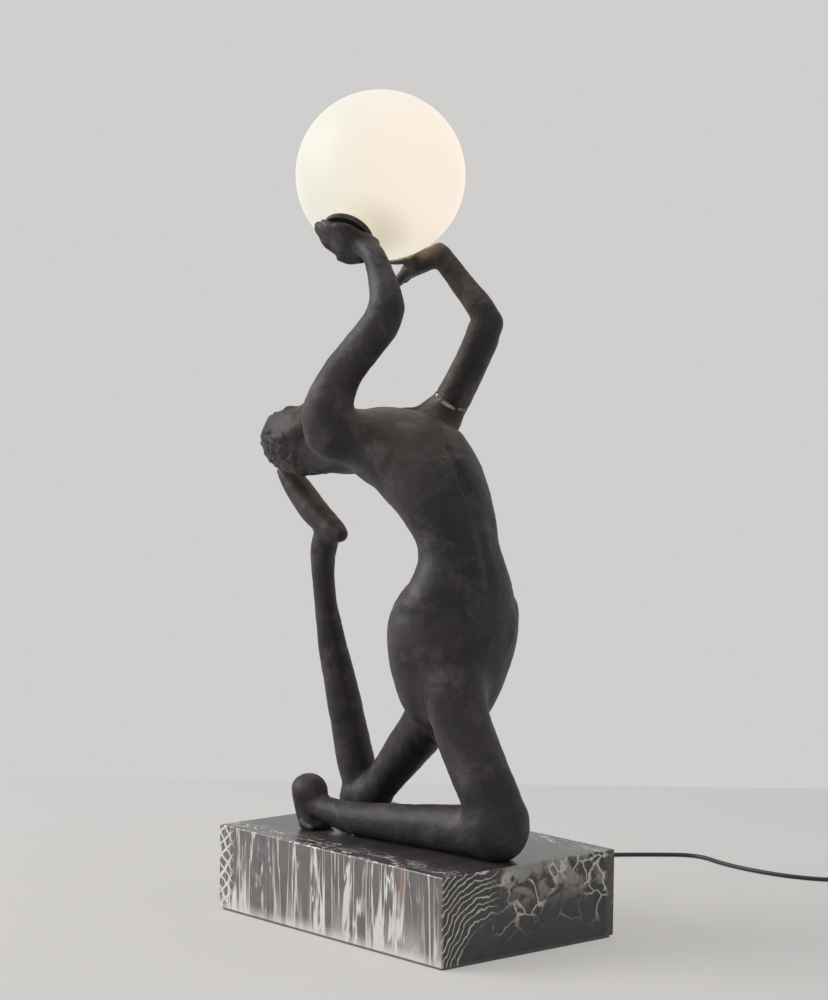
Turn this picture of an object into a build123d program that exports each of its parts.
from build123d import *
from math import cos, hypot, pi, radians, sin, sqrt, tan
import os

# Figural table lamp: a back-bending figure kneels on a marble plinth and holds up an opal globe.
# Millimetres.  The origin is the centre of the underside, +Z is up, +X is the way the figure
# faces, along the plinth's long side, and +Y is the figure's left.

# Plinth and pad
PLINTH_LENGTH = 300.0
PLINTH_WIDTH = 200.0
PLINTH_HEIGHT = 75.0
PLINTH_ARRIS = 0.9
PAD_THICKNESS = 2.0
PAD_INSET = 2.0
PAD_CORNER = 2.0
TOP = PAD_THICKNESS + PLINTH_HEIGHT
RECESS_LENGTH = 248.0
RECESS_WIDTH = 116.0
RECESS_DEPTH = 26.0
RECESS_CENTRE = (6.0, 2.0)
RECESS_CORNER = 12.0
CEILING = PAD_THICKNESS + RECESS_DEPTH

# Studs that bolt the figure down: places under the knee, the shin and the left knee
STUD_PLACES = [(88.0, -17.5), (-38.0, -36.0), (-105.0, 42.0)]
STUD_RADIUS = 3.0
STUD_HOLE_RADIUS = 3.4
STUD_REACH = 13.0
STUD_TAIL = 9.0
WASHER_RADIUS = 9.0
WASHER_THICKNESS = 1.6
NUT_FLATS = 10.0
NUT_THICKNESS = 5.0

# Wiring
LEAD_RADIUS = 2.0
BORE_RADIUS = 3.2
LEAD_HOLE_RADIUS = 4.0
CORD_DIAMETER = 4.2
CORD_RADIUS = CORD_DIAMETER / 2
CORD_X = -30.0
CORD_Z = 9.0
CORD_BORE_RADIUS = 5.0
BUSHING_GRIP = 14.0
BUSHING_FLANGE_RADIUS = 6.6
BUSHING_FLANGE = 3.0
SLEEVE_LENGTH = 22.0
SLEEVE_ROOT_RADIUS = 4.6
SLEEVE_TIP_RADIUS = 3.3
CORD_EXIT_Y = PLINTH_WIDTH / 2 + BUSHING_FLANGE + SLEEVE_LENGTH
BLOCK = (36.0, 20.0, 14.0)
BLOCK_CENTRE = (30.0, 30.0)
BLOCK_CORNER = 2.0
BLOCK_SCREW_RADIUS = 1.6
BLOCK_SCREW_LENGTH = 22.0
BLOCK_SCREW_HEAD = (3.0, 1.8)
TERMINAL_RADIUS = 2.2
TERMINAL_DEPTH = 3.0
TERMINAL_OFFSET = (12.0, 5.0)

# Figure: x, y, z, radius front to back (or up and down), radius side to side
SECTION_POINTS = 12
TORSO = [
    (42, 0, 172, 11, 15), (42, 0, 182, 23, 31), (43, 0, 203, 38, 45), (45, 0, 241, 48, 58),
    (50, 0, 273, 48, 62), (57, 0, 304, 37, 50), (53, 0, 334, 31, 39), (40, 0, 362, 33, 44),
    (13, 0, 391, 40, 53), (-18, 0, 413, 36, 61), (-46, 0, 423, 31, 59), (-73, -3, 420, 25, 44),
    (-93, -6, 417, 20, 28), (-110, -9, 417, 17, 19), (-130, -12, 418, 15, 17),
]
HEAD = [
    (-187, -15, 418, 6, 6), (-183, -15, 419, 16, 14), (-170, -15, 421, 29, 23),
    (-151, -15, 422, 35, 27.5), (-132, -15, 422, 32, 25), (-119, -15, 423, 22, 19),
    (-111, -15, 426, 10, 10),
]
NOSE = [(-141, -15, 449, 4, 3.5), (-133, -15, 454, 5.5, 4.5), (-127, -15, 451, 3, 4)]
RIGHT_THIGH = [
    (70, -22, 244, 22, 24), (77, -22, 218, 25, 26), (82, -20, 191, 25.5, 25), (94, -17, 163, 25.5, 25),
    (111, -15, 134, 25, 25), (121, -13, 112, 25, 25),
]
RIGHT_SHIN = [
    (122, -13, 101, 24, 24), (97, -17, 99, 22.5, 22), (70, -20, 97, 20.5, 20), (20, -28, 94.5, 17.5, 17),
    (-38, -36, 91.5, 14.5, 14), (-70, -40, 95, 12, 12), (-86, -42, 101, 11, 12),
]
RIGHT_KNEE = (121.5, -13, 103.5, 27.0)
RIGHT_HEEL = (-93, -43, 110, 15.5)
RIGHT_FOOT = [
    (-93, -43, 111, 15, 15), (-98, -43, 99, 12, 14), (-97, -43, 88, 10, 15), (-91, -43, 80, 9, 15),
    (-82, -43, 76, 7, 13),
]
LEFT_THIGH = [
    (32, 26, 226, 22, 24), (-2, 32, 195, 24, 25), (-30, 36, 166, 22, 22), (-59, 39, 139, 19.5, 20),
    (-88, 41, 111, 17, 17), (-100, 42, 100, 16, 16),
]
LEFT_KNEE = (-107, 42, 94.5, 19.3)
LEFT_SHIN = [
    (-117, 42, 97, 15, 15), (-124, 40, 115, 16.5, 16.5), (-129, 36, 145, 15.5, 15.5),
    (-136, 30, 189, 14, 14), (-142, 25, 226, 12.5, 12.5), (-145, 19, 268, 9.8, 9.8),
    (-141, 13, 306, 9.6, 9.6), (-132, 10, 328, 10.5, 10.5), (-122, 9, 339, 8.5, 8.5),
]
LEFT_HEEL = (-119, 9, 337, 11.4)
LEFT_FOOT = [
    (-108, 8, 336, 7, 7), (-119, 8, 339, 10.5, 11), (-139, 6, 352, 11, 12), (-157, 4, 368, 10, 13),
    (-172, 1, 383, 8, 13), (-182, -1, 392, 5, 11),
]
RIGHT_SHOULDER = (-41, -63, 433, 24.0)
RIGHT_ARM = [
    (-43, -65, 430, 19, 19), (-44, -67, 446, 22.6, 22.6), (-39, -68, 461, 20.5, 20.5), (-22, -68, 485, 17.5, 17.5),
    (10, -68, 513, 16.5, 16.5), (27, -67, 530, 16.5, 16.5), (30, -65, 547, 14.5, 14.5),
    (20, -61, 565, 12, 12), (6, -58, 584, 10.2, 10.2), (-9, -57, 594, 9.0, 9.0),
]
LEFT_SHOULDER = (-40, 60, 441, 19.0)
LEFT_ARM = [
    (-41, 62, 446, 18, 18), (-31, 66, 459, 16.5, 16.5), (-8, 68, 493, 15, 15), (10, 66, 520, 15, 15),
    (14, 62, 538, 12.5, 12.5), (-4, 54, 562, 10.8, 10.8), (-20, 46, 584, 10, 10), (-27, 42, 592, 9, 9),
]

# Globe and fitting.  Depths run along the fitter's axis from the globe's centre to the palm.
GLOBE_CENTRE = Vector(-55, 0, 658)
GLOBE_RADIUS = 75.0
GLOBE_WALL = 3.5
FITTER_AXIS = Vector(0.28, -0.69, -0.67).normalized()
NECK_RADIUS = 18.5
NECK_WALL = 3.5
NECK_MOUTH = 82.5
GASKET_GAP = 0.3
GASKET_FLOOR = 1.5
GASKET_RIM = 81.0
GALLERY_RADIUS = 23.5
GALLERY_WALL = 2.0
GALLERY_RIM = 80.5
GALLERY_BACK = 86.0
GALLERY_FRONT = GALLERY_BACK - GALLERY_WALL
NIPPLE_RADIUS = 5.0
NIPPLE_BACK = 96.0
NIPPLE_FRONT = 77.0
LOCKNUT_FLATS = 14.0
LOCKNUT_THICKNESS = 3.0
HOLDER_BACK = GALLERY_FRONT - LOCKNUT_THICKNESS
HOLDER_FRONT = 58.0
HOLDER_RADIUS = 10.5
SOCKET_FLOOR = 66.0
CAVITY_FRONT = 75.4
BULB_BASE = (15.0, 7.0)
BULB_BASE_FRONT = 48.0
BULB_FIT = 0.3
BULB_RADIUS = 7.0
BULB_TIP = 12.0
PIN_RADIUS = 0.7
PIN_LENGTH = 6.0
PIN_SPACING = 9.0
CONTACT_WALL = 0.5
CONTACT_RADIUS = 1.1
PALM_GAP = 0.5

# Right hand, in the palm's plane: reach towards the fingertips, shift across, radius through, radius across
HAND_LINE = Vector(-0.746, -0.594, 0.300).normalized()
PALM_DEPTH = 91.5
RIGHT_HAND = [
    (-27, -6, 8, 9.5), (-18, -4.5, 8, 14), (-8, -3, 8, 19), (3, -2.5, 7.5, 20.5), (13, -2, 6, 18.5),
]
RIGHT_KNUCKLE = (10.0, -2.0)
RIGHT_FINGERS = [13, 18, 18, 13]
RIGHT_FINGER_SPACING = 9.4
RIGHT_FINGER_RADIUS = 4.6
RIGHT_FINGER_CLOSING = 0.19
RIGHT_THUMB = [(-18, 9, 6.2), (-7, 18, 5.6), (6, 21, 4.2)]

FINGERTIP = 0.7

# Left hand
LEFT_HAND = [
    (-22, 44, 588, 9.4, 9.6), (-32, 41, 586, 10, 12), (-43, 39, 583, 10.5, 14.5),
    (-53, 38, 578, 8.5, 14), (-58, 37.5, 574.5, 7, 12.5),
]
LEFT_KNUCKLE = Vector(-54, 37.5, 576.5)
LEFT_FINGER_LINE = Vector(-0.74, -0.1, -0.66).normalized()
LEFT_FINGERS = [13, 17, 17, 14]
LEFT_FINGER_SPACING = 7.4
LEFT_FINGER_RADIUS = 4.3
LEFT_FINGER_LIFT = Vector(-0.3, 0, -0.5)
LEFT_THUMB = [(-40, 28, 586, 5.5, 5.5), (-52, 20, 584, 4.4, 4.4), (-63, 17, 583, 3.2, 3.2)]
LEFT_THUMB_TIP = (-63, 17, 583, 3.4)
LEFT_SEAM = (Vector(-30, 66, 461), Vector(33, 6, 47))
SEAM_REACH = 45.0

# Pins between the castings: middle, direction
PIN_LINES = [
    (Vector(-112, -10, 417.5), Vector(-30, -4, 1)),
    LEFT_SEAM,
    (Vector(8, 30, 205), Vector(-26, 6, -24)),
]
CASTING_PIN_RADIUS = 3.0
CASTING_PIN_LENGTH = 26.0
HIP_NIPPLE = (Vector(73, -17, 208), Vector(-28, 12, 72))
SHOULDER_NIPPLE = (Vector(-35, -50, 433), Vector(-14, -32, 18))
TUBE_NIPPLE_RADIUS = 5.2
TUBE_NIPPLE_LENGTH = 20.0

# Inner lead: hand-set route from the terminal block to the palm
LEAD_ROUTE = [
    (48, 32, 18), (66, 32, 18), (98, 26, 17), (116, -14, 17), (116, -14, 100), (80, -20, 190), (52, -8, 262),
    (53, -2, 332), (20, -6, 388), (-28, -34, 424), (-42, -66, 442), (-22, -68, 484), (26, -67, 529),
    (21, -61, 563), (2, -57, 589),
]
LEAD_TURN = 0.3
LEAD_LAST_RADIUS = 5.0
CORD_TURN = 0.45

# Supply cord: routes from the sleeve to the switch, on to the coil, and from the coil to the plug
CORD_TAIL_ROUTE = [(12, 30, 18), (2, 30, 18), (-16, 34, 14), (CORD_X, 58, CORD_Z), (CORD_X, CORD_EXIT_Y, CORD_Z)]
LAMP_ROUTE = [
    (CORD_X, CORD_EXIT_Y, CORD_Z), (CORD_X, 146, CORD_Z), (-39, 182, 2.1), (-66, 222, 2.1), (-96, 262, 2.1),
    (-112, 306, 2.1), (-104, 345, 2.1), (-78, 381, 2.1), (-46, 419, 2.1), (2, 405, 2.1),
    (56, 405, 2.1), (101, 418, 2.1), (134, 447, 2.1), (166, 459, 2.1), (196, 458, 7.5),
    (226, 458, 7.5),
]
SWITCH_LENGTH = 60.0
SWITCH_WIDTH = 25.0
SWITCH_BASE_HEIGHT = 7.5
SWITCH_HEIGHT = 16.0
SWITCH_CENTRE = (256.0, 458.0)
SWITCH_CORNER = 6.0
COVER_ROUND = 2.5
ROCKER = (15.0, 10.0, 6.0)
ROCKER_GAP = 0.4
ROCKER_PROUD = 1.6
ROCKER_TILT = 7.0
ROCKER_PIN_RADIUS = 1.2
ROCKER_PIN_GAP = 0.05
ROCKER_PIN_REACH = 2.0
ROCKER_AXLE_DEPTH = 2.5
ROCKER_END_GAP = 1.0
ROCKER_SKIRT = 3.6
ROCKER_TAPER = 1.6
ROCKER_LIP = 0.5
ROCKER_DIP = 1.1
SWITCH_SCREW_RADIUS = 1.5
SWITCH_SCREW_OFFSET = 22.0
SWITCH_SCREW_SUNK = 0.4
SWITCH_SCREW_BITE = 3.0
SWITCH_TO_COIL = [(306, 458, 7.5), (332, 456, 3.6)]
COIL_CENTRE = (376.0, 424.0)
COIL_PITCH = 4.75
COIL_OUTER = 30.5
COIL_LAYER_TURNS = 3.5
COIL_LEAD_IN = 16.0
COIL_LEAD_OUT = 14.0
COIL_FIRST_WAY = 0.002
TIE_THICKNESS = 0.8
TIE_WIDTH = 6.0
TIE_GAP = 0.35
COIL_Z = TIE_THICKNESS + CORD_RADIUS
PLUG_Z = 6.9
PLUG_END = (320.0, 387.0)
PLUG_LEAD_IN = 15.0
PLUG_BODY = (34.0, 26.0, 13.8)
PLUG_NOSE = 16.0
PLUG_SLEEVE = 18.0
PLUG_SLEEVE_SECTION = (4.0, 4.2)
PLUG_ROOT_SECTION = (5.6, 7.5)
PLUG_SHOULDER = 2.0
PLUG_DRAFT = 0.5
PLUG_PIN_RADIUS = 2.0
PLUG_PIN_LENGTH = 19.0
PLUG_PIN_SPACING = 19.0


def place(point):
    return Vector(point[0], point[1], point[2])


def section(centre, along, side, deep, wide):
    """Oval face square to along: deep is its radius across side, wide its radius along side."""
    across = side.cross(along).normalized()
    level = along.cross(across).normalized()
    rim = []
    for step in range(SECTION_POINTS):
        turn = 2 * pi * step / SECTION_POINTS
        rim.append(centre + across * (deep * cos(turn)) + level * (wide * sin(turn)))
    return Face(Wire([Spline(*rim, periodic=True).edge()]))


def limb(stations, side=Vector(0, 1, 0)):
    """Smooth body through oval sections, each square to the line of its neighbours."""
    points = [place(station) for station in stations]
    faces = []
    for index, station in enumerate(stations):
        along = points[min(index + 1, len(points) - 1)] - points[max(index - 1, 0)]
        faces.append(section(points[index], along, side, station[3], station[4]))
    return loft(faces)


def join(name, pieces):
    """One solid from overlapping pieces, added one at a time."""
    whole = pieces[0]
    for index, piece in enumerate(pieces[1:]):
        before = whole.volume
        whole += piece
        if whole.volume < before + 1 or len(whole.solids()) != 1:
            print("piece", index + 1, "of", name, "did not join")
    return whole


def ball(station):
    return Pos(*station[:3]) * Sphere(station[3])


def rod(start, along, radius, length):
    """Round bar of one length from start along a direction."""
    return Plane(origin=start, z_dir=along) * Pos(0, 0, length / 2) * Cylinder(radius, length)


def on_fitter(depth):
    """Point on the fitter's axis, depth away from the globe's centre."""
    return GLOBE_CENTRE + FITTER_AXIS * depth


def fitter_bar(radius, back, front):
    return rod(on_fitter(back), -FITTER_AXIS, radius, back - front)


def run_lengths(points):
    return [(b - a).length for a, b in zip(points, points[1:])]


def arc_radii(points, share):
    """Largest tangent arc at each corner that uses no more than share of its shorter run."""
    lengths = run_lengths(points)
    radii = []
    for index in range(1, len(points) - 1):
        into = points[index] - points[index - 1]
        out = points[index + 1] - points[index]
        half_turn = radians(into.get_angle(out)) / 2
        radii.append(share * min(lengths[index - 1], lengths[index]) / tan(half_turn))
    return radii


def tube(path, radius):
    ring = Plane(origin=path @ 0, z_dir=path % 0) * Circle(radius)
    return sweep(ring, path=path)


def cord_path(route):
    points = [Vector(*point) for point in route]
    return FilletPolyline(*points, radius=arc_radii(points, CORD_TURN)).wire()


def lead_path():
    points = [Vector(*point) for point in LEAD_ROUTE] + [on_fitter(NIPPLE_BACK - 1), on_fitter(NIPPLE_FRONT)]
    radii = arc_radii(points, LEAD_TURN)
    radii[-1] = LEAD_LAST_RADIUS
    radii = [min(radius, 60.0) for radius in radii]
    return FilletPolyline(*points, radius=radii).wire()


def biarc(start, start_way, end, end_way):
    """Two arcs that join start to end and leave and arrive in the given directions."""
    chord = end - start
    both = start_way + end_way
    spread = 2 * (1 - start_way.dot(end_way))
    reach = (-chord.dot(both) + sqrt(chord.dot(both) ** 2 + spread * chord.dot(chord))) / spread
    before = start + start_way * reach
    after = end - end_way * reach
    middle = (before + after) * 0.5
    return [
        Edge.make_tangent_arc(start, start_way, middle),
        Edge.make_tangent_arc(middle, (after - before).normalized(), end),
    ]


def coil_radius(turns):
    """Distance from the coil's axis after a number of turns."""
    inner = COIL_OUTER - COIL_PITCH * COIL_LAYER_TURNS
    if turns <= COIL_LAYER_TURNS:
        return COIL_OUTER - COIL_PITCH * turns
    climbed = turns - COIL_LAYER_TURNS
    if climbed < 0.5:
        return inner - COIL_PITCH * (climbed - 2 * climbed ** 2)
    return inner + COIL_PITCH * (climbed - 0.5)


def coil_height(turns):
    share = min(max((turns - COIL_LAYER_TURNS) / 0.5, 0.0), 1.0)
    return COIL_Z + COIL_PITCH * share ** 2 * (3 - 2 * share)


def coil_point(turns):
    angle = 2 * pi * turns
    radius = coil_radius(turns)
    x = COIL_CENTRE[0] + radius * sin(angle)
    y = COIL_CENTRE[1] + radius * cos(angle)
    return Vector(x, y, coil_height(turns))


def coil_way(turns):
    step = 0.001
    return (coil_point(turns + step) - coil_point(turns - step)).normalized()


COIL_TURNS = 2 * COIL_LAYER_TURNS + 0.5


def coil_path():
    quarters = [quarter / 4 for quarter in range(int(COIL_TURNS * 4) + 1)]
    first, last = coil_point(quarters[0]), coil_point(quarters[-1])
    edges = [Edge.make_line(first - coil_way(0.002) * CORD_DIAMETER, first)]
    for before, after in zip(quarters, quarters[1:]):
        way_in = coil_way(0.002) if before == 0 else coil_way(before)
        edges += biarc(coil_point(before), way_in, coil_point(after), coil_way(after))
    edges.append(Edge.make_line(last, last + coil_way(quarters[-1]) * CORD_DIAMETER))
    return Wire(edges)


def coil_gap():
    """Least clear gap between the coil's turns, measured on points."""
    steps = 48
    points = [coil_point(index / steps) for index in range(int(COIL_TURNS * steps) + 1)]
    least = COIL_OUTER
    for index, point in enumerate(points):
        for other in points[index + steps // 3:]:
            least = min(least, (point - other).length)
    return least - CORD_DIAMETER


def rounded_box(length, width, height, corner):
    return extrude(RectangleRounded(length, width, corner), height)


def marble_plinth():
    block = Pos(0, 0, PAD_THICKNESS + PLINTH_HEIGHT / 2) * Box(PLINTH_LENGTH, PLINTH_WIDTH, PLINTH_HEIGHT)
    block = chamfer(block.edges(), PLINTH_ARRIS)
    recess = rounded_box(RECESS_LENGTH, RECESS_WIDTH, RECESS_DEPTH, RECESS_CORNER)
    block -= Pos(*RECESS_CENTRE, PAD_THICKNESS) * recess
    for x, y in STUD_PLACES:
        block -= Pos(x, y, TOP - PLINTH_HEIGHT / 2) * Cylinder(STUD_HOLE_RADIUS, PLINTH_HEIGHT)
    lead_x, lead_y = LEAD_ROUTE[4][:2]
    block -= Pos(lead_x, lead_y, TOP - PLINTH_HEIGHT / 2) * Cylinder(LEAD_HOLE_RADIUS, PLINTH_HEIGHT)
    wall = Vector(CORD_X, PLINTH_WIDTH / 2 + 1, CORD_Z)
    block -= rod(wall, Vector(0, -1, 0), CORD_BORE_RADIUS, PLINTH_WIDTH / 2)
    block -= rod(Vector(*BLOCK_CENTRE, CEILING), Vector(0, 0, 1), BLOCK_SCREW_RADIUS, BLOCK_SCREW_LENGTH)
    return block


def felt_pad():
    return rounded_box(PLINTH_LENGTH - 2 * PAD_INSET, PLINTH_WIDTH - 2 * PAD_INSET, PAD_THICKNESS, PAD_CORNER)


def at_studs(piece):
    return Compound([Pos(x, y, 0) * piece for x, y in STUD_PLACES])


def stud():
    bottom = CEILING - STUD_TAIL
    return rod(Vector(0, 0, bottom), Vector(0, 0, 1), STUD_RADIUS, TOP + STUD_REACH - bottom)


def washer():
    ring = Circle(WASHER_RADIUS) - Circle(STUD_HOLE_RADIUS)
    return Pos(0, 0, CEILING - WASHER_THICKNESS) * extrude(ring, WASHER_THICKNESS)


def hex_nut(flats, bore, thickness):
    return extrude(RegularPolygon(flats / 2, 6, major_radius=False) - Circle(bore), thickness)


def plinth_nut():
    seat = CEILING - WASHER_THICKNESS - NUT_THICKNESS
    return Pos(0, 0, seat) * hex_nut(NUT_FLATS, STUD_RADIUS, NUT_THICKNESS)


def cord_bushing():
    """Grip in the bore, flange on the back face and a tapered sleeve round the cord."""
    face = PLINTH_WIDTH / 2
    outline = [
        (0, face - BUSHING_GRIP), (CORD_BORE_RADIUS, face - BUSHING_GRIP), (CORD_BORE_RADIUS, face),
        (BUSHING_FLANGE_RADIUS, face), (BUSHING_FLANGE_RADIUS, face + BUSHING_FLANGE),
        (SLEEVE_ROOT_RADIUS, face + BUSHING_FLANGE), (SLEEVE_TIP_RADIUS, CORD_EXIT_Y), (0, CORD_EXIT_Y),
    ]
    body = revolve(make_face(Polyline(*outline, close=True)), Axis.Y)
    body -= rod(Vector(0, 0, 0), Vector(0, 1, 0), CORD_RADIUS, CORD_EXIT_Y + 1)
    return Pos(CORD_X, 0, CORD_Z) * body


def terminal_places():
    away_x, away_y = TERMINAL_OFFSET
    return [(BLOCK_CENTRE[0] + x, BLOCK_CENTRE[1] + y) for x in (-away_x, away_x) for y in (-away_y, away_y)]


def terminal_block():
    length, width, height = BLOCK
    block = Pos(*BLOCK_CENTRE, CEILING - height) * rounded_box(length, width, height, BLOCK_CORNER)
    base = CEILING - height
    for x, y in terminal_places():
        block -= rod(Vector(x, y, base), Vector(0, 0, 1), TERMINAL_RADIUS, TERMINAL_DEPTH)
    return block - rod(Vector(*BLOCK_CENTRE, base), Vector(0, 0, 1), BLOCK_SCREW_RADIUS, height)


def terminal_screws():
    base = Vector(0, 0, CEILING - BLOCK[2])
    screw = rod(base, Vector(0, 0, 1), TERMINAL_RADIUS, TERMINAL_DEPTH)
    return Compound([Pos(x, y, 0) * screw for x, y in terminal_places()])


def block_screw():
    start = Vector(*BLOCK_CENTRE, CEILING - BLOCK[2])
    shank = rod(start, Vector(0, 0, 1), BLOCK_SCREW_RADIUS, BLOCK[2] + BLOCK_SCREW_LENGTH)
    return shank + rod(start, Vector(0, 0, -1), *BLOCK_SCREW_HEAD)


def nipple(line, inner, outer, length):
    middle, along = line
    along = along.normalized()
    start = middle - along * (length / 2)
    return rod(start, along, outer, length) - rod(start, along, inner, length)


def pins():
    bars = []
    for middle, along in PIN_LINES:
        along = along.normalized()
        start = middle - along * (CASTING_PIN_LENGTH / 2)
        bars.append(rod(start, along, CASTING_PIN_RADIUS, CASTING_PIN_LENGTH))
    return bars


def finger(knuckle, line, lift, length, radius):
    """Round finger that bends once towards lift and thins towards its tip."""
    middle = knuckle + line * (length * 0.55) + lift * 0.8
    tip = middle + (line + lift * 0.55).normalized() * (length * 0.45)
    start = knuckle - line * 5
    thin = FINGERTIP * radius
    stations = [(*start, radius, radius), (*middle, radius * 0.9, radius * 0.9), (*tip, thin, thin)]
    return limb(stations, lift) + ball((*tip, thin + 0.2))


def right_hand():
    """Leaf-shaped hand under the cup: palm, four fingers that close towards its tip, and the thumb."""
    side = FITTER_AXIS.cross(HAND_LINE).normalized()

    def in_palm(reach, across):
        return on_fitter(PALM_DEPTH) + HAND_LINE * reach + side * across

    palm = [(*in_palm(reach, across), deep, wide) for reach, across, deep, wide in RIGHT_HAND]
    pieces = [limb(palm, side)]
    for index, length in enumerate(RIGHT_FINGERS):
        place = index - 1.5
        knuckle = in_palm(RIGHT_KNUCKLE[0], RIGHT_KNUCKLE[1] + RIGHT_FINGER_SPACING * place)
        line = (HAND_LINE - side * (RIGHT_FINGER_CLOSING * place)).normalized()
        pieces.append(finger(knuckle, line, -FITTER_AXIS, length, RIGHT_FINGER_RADIUS))
    thumb = [(*in_palm(reach, across), radius, radius) for reach, across, radius in RIGHT_THUMB]
    pieces.append(limb(thumb, -FITTER_AXIS) + ball(thumb[-1]))
    seat = fitter_bar(GALLERY_RADIUS, GALLERY_BACK, HOLDER_FRONT)
    return join("right hand", [piece - seat for piece in pieces])


def left_hand():
    out = (LEFT_KNUCKLE - GLOBE_CENTRE).normalized()
    side = out.cross(Vector(-1, 0, 0)).normalized()
    pieces = [limb(LEFT_HAND, side), limb(LEFT_THUMB, side) + ball(LEFT_THUMB_TIP)]
    for index, length in enumerate(LEFT_FINGERS):
        knuckle = LEFT_KNUCKLE + side * (LEFT_FINGER_SPACING * (index - 1.5))
        pieces.append(finger(knuckle, LEFT_FINGER_LINE, LEFT_FINGER_LIFT, length, LEFT_FINGER_RADIUS))
    return pieces


def gallery_cup():
    cup = fitter_bar(GALLERY_RADIUS, GALLERY_BACK, GALLERY_RIM)
    cup -= fitter_bar(GALLERY_RADIUS - GALLERY_WALL, GALLERY_FRONT, GALLERY_RIM)
    return cup - fitter_bar(NIPPLE_RADIUS, GALLERY_BACK, GALLERY_FRONT)


def globe_gasket():
    seat_back = NECK_MOUTH + GASKET_FLOOR
    ring = fitter_bar(GALLERY_RADIUS - GALLERY_WALL, seat_back, GASKET_RIM)
    ring -= fitter_bar(NECK_RADIUS + GASKET_GAP, NECK_MOUTH, GASKET_RIM)
    return ring - fitter_bar(NECK_RADIUS - NECK_WALL, seat_back, NECK_MOUTH)


def opal_globe():
    ball_solid = Pos(*GLOBE_CENTRE) * Sphere(GLOBE_RADIUS)
    shell = ball_solid + fitter_bar(NECK_RADIUS, NECK_MOUTH, GLOBE_RADIUS / 2)
    shell -= Pos(*GLOBE_CENTRE) * Sphere(GLOBE_RADIUS - GLOBE_WALL)
    return shell - fitter_bar(NECK_RADIUS - NECK_WALL, NECK_MOUTH, GLOBE_RADIUS / 2)


def fitter_plane(depth):
    """Plane square to the fitter's axis that looks towards the globe's centre."""
    return Plane(origin=on_fitter(depth), x_dir=HAND_LINE, z_dir=-FITTER_AXIS)


def fitter_box(length, width, back, front):
    return extrude(fitter_plane(back) * Rectangle(length, width), back - front)


def at_contacts(radius, back, front):
    bars = []
    for side in (-0.5, 0.5):
        plane = fitter_plane(back)
        bars.append(extrude(plane * Pos(side * PIN_SPACING, 0) * Circle(radius), back - front))
    return bars


CONTACT_BACK = SOCKET_FLOOR + PIN_LENGTH + 1.0


def lamp_holder():
    body = fitter_bar(HOLDER_RADIUS, HOLDER_BACK, HOLDER_FRONT)
    body -= fitter_box(BULB_BASE[0] + 2 * BULB_FIT, BULB_BASE[1] + 2 * BULB_FIT, SOCKET_FLOOR, HOLDER_FRONT)
    body -= fitter_bar(NIPPLE_RADIUS, HOLDER_BACK, CAVITY_FRONT)
    for bar in at_contacts(CONTACT_RADIUS + CONTACT_WALL, CONTACT_BACK, SOCKET_FLOOR):
        body -= bar
    return body


def holder_contacts():
    outer = at_contacts(CONTACT_RADIUS + CONTACT_WALL, CONTACT_BACK, SOCKET_FLOOR)
    inner = at_contacts(CONTACT_RADIUS, CONTACT_BACK, SOCKET_FLOOR)
    return Compound([sleeve - bore for sleeve, bore in zip(outer, inner)])


def bulb_envelope():
    straight_end = BULB_TIP + BULB_RADIUS
    return fitter_bar(BULB_RADIUS, BULB_BASE_FRONT, straight_end) + Pos(*on_fitter(straight_end)) * Sphere(BULB_RADIUS)


def locknut():
    return fitter_plane(GALLERY_FRONT) * hex_nut(LOCKNUT_FLATS, NIPPLE_RADIUS, LOCKNUT_THICKNESS)


def switch_shell(bottom, top):
    shell = rounded_box(SWITCH_LENGTH, SWITCH_WIDTH, top - bottom, SWITCH_CORNER)
    return Pos(*SWITCH_CENTRE, bottom) * shell


def rocker_opening():
    length, width, height = ROCKER
    size = (length + 2 * ROCKER_GAP, width + 2 * ROCKER_GAP, height)
    return Pos(*SWITCH_CENTRE, SWITCH_HEIGHT - height / 2) * Box(*size)


def rocker_axle_z():
    return SWITCH_HEIGHT - ROCKER_AXLE_DEPTH


def switch_pin(radius, length):
    start = Vector(SWITCH_CENTRE[0], SWITCH_CENTRE[1] - length / 2, rocker_axle_z())
    return rod(start, Vector(0, 1, 0), radius, length)


def switch_screw_places():
    return [(SWITCH_CENTRE[0] + x, SWITCH_CENTRE[1]) for x in (-SWITCH_SCREW_OFFSET, SWITCH_SCREW_OFFSET)]


def switch_base():
    base = switch_shell(0, SWITCH_BASE_HEIGHT)
    for x, y in switch_screw_places():
        base -= rod(Vector(x, y, 0), Vector(0, 0, 1), SWITCH_SCREW_RADIUS, SWITCH_BASE_HEIGHT)
    return base


def switch_cover():
    cover = switch_shell(SWITCH_BASE_HEIGHT, SWITCH_HEIGHT)
    cover = fillet(cover.faces().sort_by(Axis.Z)[-1].edges(), COVER_ROUND)
    cover -= rocker_opening()
    cover -= switch_pin(ROCKER_PIN_RADIUS + ROCKER_PIN_GAP, ROCKER[1] + 2 * ROCKER_PIN_REACH + 1)
    for x, y in switch_screw_places():
        cover -= rod(Vector(x, y, SWITCH_BASE_HEIGHT), Vector(0, 0, 1), SWITCH_SCREW_RADIUS, SWITCH_SCREW_BITE + 1)
    return cover


def switch_screws():
    length = SWITCH_BASE_HEIGHT + SWITCH_SCREW_BITE
    screw = rod(Vector(0, 0, SWITCH_SCREW_SUNK), Vector(0, 0, 1), SWITCH_SCREW_RADIUS, length)
    return Compound([Pos(x, y, 0) * screw for x, y in switch_screw_places()])


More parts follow.
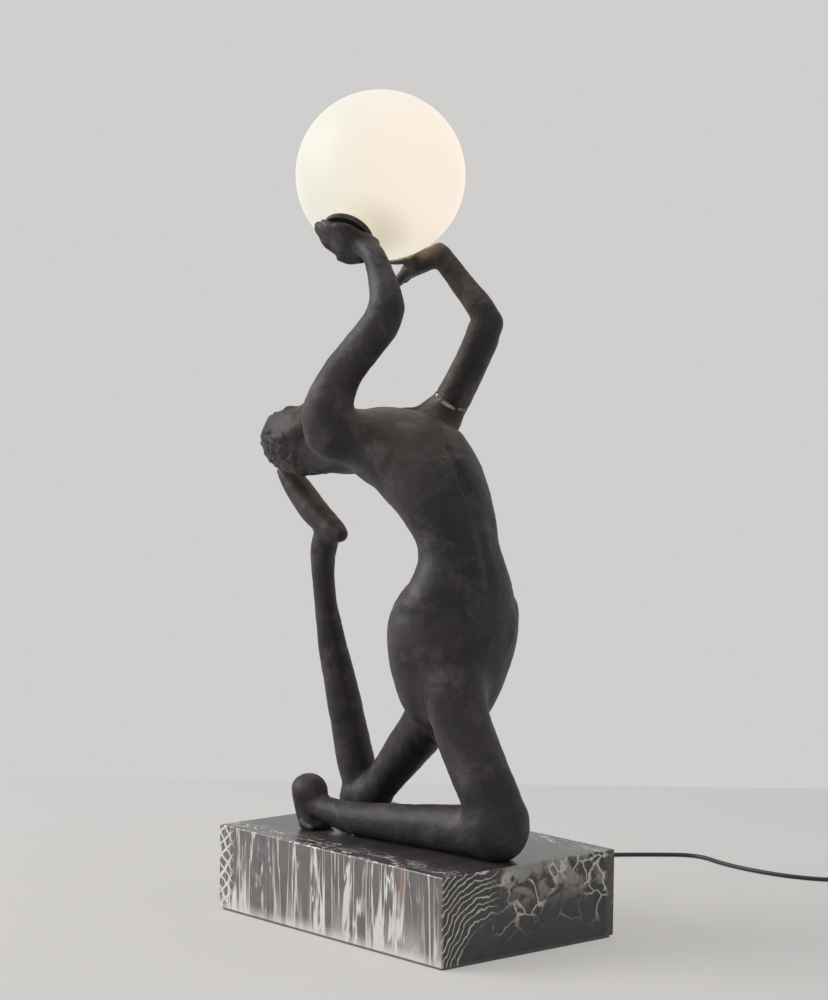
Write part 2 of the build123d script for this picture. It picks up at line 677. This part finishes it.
def switch_rocker():
    """Key with two shallow rising ends and its cross pin."""
    half = ROCKER[0] / 2 - ROCKER_END_GAP
    lip = SWITCH_HEIGHT - ROCKER_LIP
    top = SWITCH_HEIGHT + ROCKER_PROUD
    low = SWITCH_HEIGHT - ROCKER_SKIRT
    outline = [(-half + ROCKER_TAPER, low), (half - ROCKER_TAPER, low), (half, lip), (half, top)]
    outline += [(0, top - ROCKER_DIP), (-half, top), (-half, lip)]
    edge = (SWITCH_CENTRE[0], SWITCH_CENTRE[1] + ROCKER[1] / 2, 0)
    side = Plane(origin=edge, x_dir=(1, 0, 0), z_dir=(0, -1, 0))
    key = extrude(side * make_face(Polyline(*outline, close=True)), ROCKER[1])
    axle = Axis((SWITCH_CENTRE[0], 0, rocker_axle_z()), (0, 1, 0))
    return key.rotate(axle, ROCKER_TILT) + switch_pin(ROCKER_PIN_RADIUS, ROCKER[1] + 2 * ROCKER_PIN_REACH)


def cord_tie():
    """Flat strap loop round all the turns on the coil's +X side."""
    inner = min(coil_radius(COIL_LAYER_TURNS + share / 8) for share in range(5)) - CORD_RADIUS - TIE_GAP
    outer = COIL_OUTER + CORD_RADIUS + TIE_GAP
    height = 2 * CORD_RADIUS + COIL_PITCH + TIE_GAP
    middle = Vector(COIL_CENTRE[0] + (inner + outer) / 2, COIL_CENTRE[1], 0)
    strap = Box(outer - inner + 2 * TIE_THICKNESS, TIE_WIDTH, height + 2 * TIE_THICKNESS)
    strap -= Box(outer - inner, TIE_WIDTH, height)
    return Pos(middle.X, middle.Y, height / 2 + TIE_THICKNESS) * strap


def plug_path_route():
    way = coil_way(COIL_TURNS)
    last = coil_point(COIL_TURNS) + way * CORD_DIAMETER
    turn = Vector(PLUG_END[0] + PLUG_LEAD_IN, PLUG_END[1], PLUG_Z)
    return [last, last + way * COIL_LEAD_OUT, turn, Vector(*PLUG_END, PLUG_Z)]


def plug_body():
    """Flat two-pin body that narrows to its sleeve."""
    length, width, thick = PLUG_BODY
    x, y = PLUG_END
    along = Vector(-1, 0, 0)
    sides = Vector(0, 1, 0)
    start = Vector(x, y, PLUG_Z)
    stations = [
        (*start, SLEEVE_TIP_RADIUS, SLEEVE_TIP_RADIUS),
        (*(start + along * (PLUG_SLEEVE * 0.6)), *PLUG_SLEEVE_SECTION),
        (*(start + along * PLUG_SLEEVE), *PLUG_ROOT_SECTION),
        (*(start + along * (PLUG_SLEEVE + PLUG_NOSE / 2)), thick / 2, width / 2 - PLUG_SHOULDER),
        (*(start + along * (PLUG_SLEEVE + PLUG_NOSE)), thick / 2, width / 2),
        (*(start + along * (PLUG_SLEEVE + length)), thick / 2, width / 2 - PLUG_DRAFT),
    ]
    return limb(stations, sides)


def plug_pins():
    x, y = PLUG_END
    face = x - PLUG_SLEEVE - PLUG_BODY[0]
    bars = []
    for side in (-0.5, 0.5):
        start = Vector(face, y + side * PLUG_PIN_SPACING, PLUG_Z)
        bars.append(rod(start, Vector(-1, 0, 0), PLUG_PIN_RADIUS, PLUG_PIN_LENGTH))
    return Compound(bars)


def castings():
    """The six castings, each cut by the ones before it, so that they seat face to face."""
    bore = tube(lead_path(), BORE_RADIUS)
    ground = Pos(0, 0, TOP / 2) * Box(2 * PLINTH_LENGTH, PLINTH_WIDTH, TOP)
    clear_globe = Pos(*GLOBE_CENTRE) * Sphere(GLOBE_RADIUS + PALM_GAP)
    torso = limb(TORSO)
    head = limb(HEAD) + limb(NOSE)
    right_leg = [limb(RIGHT_THIGH), limb(RIGHT_SHIN), ball(RIGHT_KNEE), ball(RIGHT_HEEL), limb(RIGHT_FOOT)]
    right_leg = join("right leg", right_leg)
    left_leg = [limb(LEFT_THIGH), limb(LEFT_SHIN), ball(LEFT_KNEE), ball(LEFT_HEEL), limb(LEFT_FOOT)]
    left_leg = join("left leg", left_leg)
    right_arm = join("right arm", [limb(RIGHT_ARM), ball(RIGHT_SHOULDER), right_hand()])
    left_arm = join("left arm", [limb(LEFT_ARM), ball(LEFT_SHOULDER)] + left_hand()) - clear_globe
    seam, arm_way = LEFT_SEAM
    below_seam = rod(seam, -arm_way, SEAM_REACH, SEAM_REACH)
    torso = join("torso", [torso, left_arm & below_seam])
    made = {
        "torso_casting": torso,
        "head_casting": head - torso,
        "right_leg_casting": right_leg - ground - torso,
        "left_leg_casting": left_leg - ground - torso - head,
        "right_arm_casting": right_arm - torso,
        "left_arm_casting": left_arm - torso,
    }
    cutters = [bore] + pins() + [at_studs(stud())]
    cutters.append(nipple(HIP_NIPPLE, 0.01, TUBE_NIPPLE_RADIUS, TUBE_NIPPLE_LENGTH))
    cutters.append(nipple(SHOULDER_NIPPLE, 0.01, TUBE_NIPPLE_RADIUS, TUBE_NIPPLE_LENGTH))
    cutters.append(fitter_bar(NIPPLE_RADIUS, NIPPLE_BACK, GALLERY_BACK))
    for name in made:
        for cutter in cutters:
            made[name] -= cutter
    return made


def cords():
    lamp_route = [Vector(*point) for point in LAMP_ROUTE]
    reach = coil_way(COIL_FIRST_WAY)
    coil_start = coil_point(0) - reach * CORD_DIAMETER
    coil_route = [
        Vector(SWITCH_CENTRE[0] + SWITCH_LENGTH / 2, SWITCH_CENTRE[1], SWITCH_BASE_HEIGHT),
        Vector(*SWITCH_TO_COIL[0]),
        Vector(*SWITCH_TO_COIL[1]),
        coil_start - reach * COIL_LEAD_IN,
        coil_start,
    ]
    made = {}
    routes = {"cord_to_switch": lamp_route, "cord_to_coil": coil_route, "cord_to_plug": plug_path_route()}
    for name, route in routes.items():
        path = cord_path(route)
        solid = tube(path, CORD_RADIUS)
        radii = [round(radius, 1) for radius in arc_radii(route, CORD_TURN)]
        share = solid.volume / (pi * CORD_RADIUS ** 2 * path.length)
        print(name, "length", round(path.length, 1), "radii", radii, "volume share", round(share, 4))
        made[name] = solid
    path = coil_path()
    made["cord_coil"] = tube(path, CORD_RADIUS)
    share = made["cord_coil"].volume / (pi * CORD_RADIUS ** 2 * path.length)
    print("cord_coil length", round(path.length, 1), "least gap", round(coil_gap(), 2), "share", round(share, 4))
    return made


def build():
    nipples = [
        nipple(HIP_NIPPLE, BORE_RADIUS, TUBE_NIPPLE_RADIUS, TUBE_NIPPLE_LENGTH),
        nipple(SHOULDER_NIPPLE, BORE_RADIUS, TUBE_NIPPLE_RADIUS, TUBE_NIPPLE_LENGTH),
    ]
    holder_nipple = fitter_bar(NIPPLE_RADIUS, NIPPLE_BACK, NIPPLE_FRONT) - tube(lead_path(), BORE_RADIUS)
    holder_nipple -= fitter_bar(BORE_RADIUS, NIPPLE_BACK, NIPPLE_FRONT)
    nodes = {
        "marble_plinth": marble_plinth(),
        "felt_pad": felt_pad(),
        "plinth_studs": at_studs(stud()),
        "plinth_washers": at_studs(washer()),
        "plinth_nuts": at_studs(plinth_nut()),
        "cord_bushing": cord_bushing(),
        "terminal_block": terminal_block(),
        "terminal_screws": terminal_screws(),
        "block_screw": block_screw(),
        "cord_tail": tube(cord_path(CORD_TAIL_ROUTE), CORD_RADIUS),
        "inner_lead": tube(lead_path(), LEAD_RADIUS),
        "casting_pins": Compound(pins()),
        "tube_nipples": Compound(nipples),
        "holder_nipple": holder_nipple,
        "gallery_cup": gallery_cup(),
        "globe_gasket": globe_gasket(),
        "gallery_locknut": locknut(),
        "lamp_holder": lamp_holder(),
        "holder_contacts": holder_contacts(),
        "opal_globe": opal_globe(),
        "bulb_envelope": bulb_envelope(),
        "bulb_base": fitter_box(*BULB_BASE, SOCKET_FLOOR, BULB_BASE_FRONT),
        "bulb_pins": Compound(at_contacts(PIN_RADIUS, SOCKET_FLOOR + PIN_LENGTH, SOCKET_FLOOR)),
        "switch_base": switch_base(),
        "switch_cover": switch_cover(),
        "switch_rocker": switch_rocker(),
        "switch_screws": switch_screws(),
        "cord_tie": cord_tie(),
        "plug_body": plug_body(),
        "plug_pins": plug_pins(),
    }
    nodes.update(castings())
    nodes.update(cords())
    os.makedirs("parts", exist_ok=True)
    for name, solid in nodes.items():
        export_step(solid, f"parts/{name}.step")


build()
